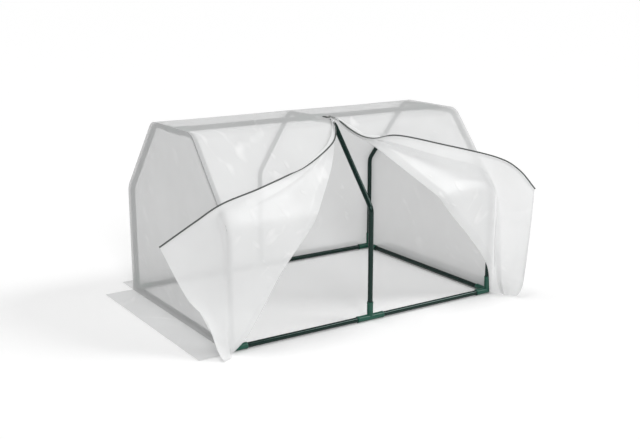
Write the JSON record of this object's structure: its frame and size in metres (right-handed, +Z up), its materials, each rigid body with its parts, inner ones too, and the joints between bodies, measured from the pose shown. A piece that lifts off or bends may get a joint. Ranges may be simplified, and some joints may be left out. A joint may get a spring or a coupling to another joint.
{
  "type": "mini greenhouse",
  "caption": "Mini greenhouse: push-fit tube frame under a clear film cover, zip doors folded back, ground skirt round three sides.",
  "frame": {"origin": "on the ground, in the middle of the base", "axes": "+X along the ridge, towards the right end seen from the doors; +Y from the doors to the back; +Z up"},
  "size_m": [1.288, 0.8941, 0.6191],
  "materials": {
    "frame_tube": "dark green gloss coating",
    "frame_connector": "moulded, satin green",
    "cover_film": "clear film, slightly milky",
    "zip_chain": "grey coil zip",
    "zip_metal": "plain metal"
  },
  "bodies": {
    "frame_and_cover": {"base_corner_front_left": "frame_connector", "base_corner_front_right": "frame_connector", "base_corner_back_left": "frame_connector", "base_corner_back_right": "frame_connector", "base_tee_front": "frame_connector", "base_tee_back": "frame_connector", "base_rail_front_left": "frame_tube", "base_rail_front_right": "frame_tube", "base_rail_back_left": "frame_tube", "base_rail_back_right": "frame_tube", "base_rail_side_left": "frame_tube", "base_rail_side_right": "frame_tube", "hoop_left_front": "frame_tube", "hoop_left_back": "frame_tube", "hoop_middle_front": "frame_tube", "hoop_middle_back": "frame_tube", "hoop_right_front": "frame_tube", "hoop_right_back": "frame_tube", "ridge_joint_left": "frame_connector", "ridge_joint_middle": "frame_connector", "ridge_joint_right": "frame_connector", "ridge_tube_left": "frame_tube", "ridge_tube_right": "frame_tube", "cover_back_and_roof": "cover_film", "cover_end_left": "cover_film", "cover_end_right": "cover_film", "cover_front_left": "cover_film", "cover_front_right": "cover_film", "ground_skirt_left": "cover_film", "ground_skirt_right": "cover_film", "ground_skirt_back": "cover_film", "zip_joined": "zip_chain", "door_mouth_left": "cover_film", "door_mouth_right": "cover_film", "zip_mouth_left": "zip_chain", "zip_mouth_right": "zip_chain"},
    "door_left": {"door_flap_left": "cover_film", "zip_half_left": "zip_chain"},
    "door_right": {"door_flap_right": "cover_film", "zip_half_right": "zip_chain"},
    "slider": {"zip_slider": "zip_metal"},
    "pull": {"zip_pull": "zip_metal"}
  },
  "joints": [
    {"name": "door_left_fold", "type": "hinge", "parent": "frame_and_cover", "child": "door_left", "pos_m": [0.02165, -0.13975, 0.6126], "axis": [0.5135, 0.562, 0.6484], "range_deg": [0, 90]},
    {"name": "door_right_fold", "type": "hinge", "parent": "frame_and_cover", "child": "door_right", "pos_m": [-0.00984, -0.13975, 0.6126], "axis": [0.5125, -0.5624, -0.6489], "range_deg": [0, 90]},
    {"name": "slider_travel", "type": "slide", "parent": "frame_and_cover", "child": "slider", "axis": [0, 1, 0], "range_m": [0, 0.026]},
    {"name": "pull_swing", "type": "hinge", "parent": "slider", "child": "pull", "pos_m": [0, -0.1149, 0.6165], "axis": [-1, 0, 0], "range_deg": [0, 180]}
  ]
}
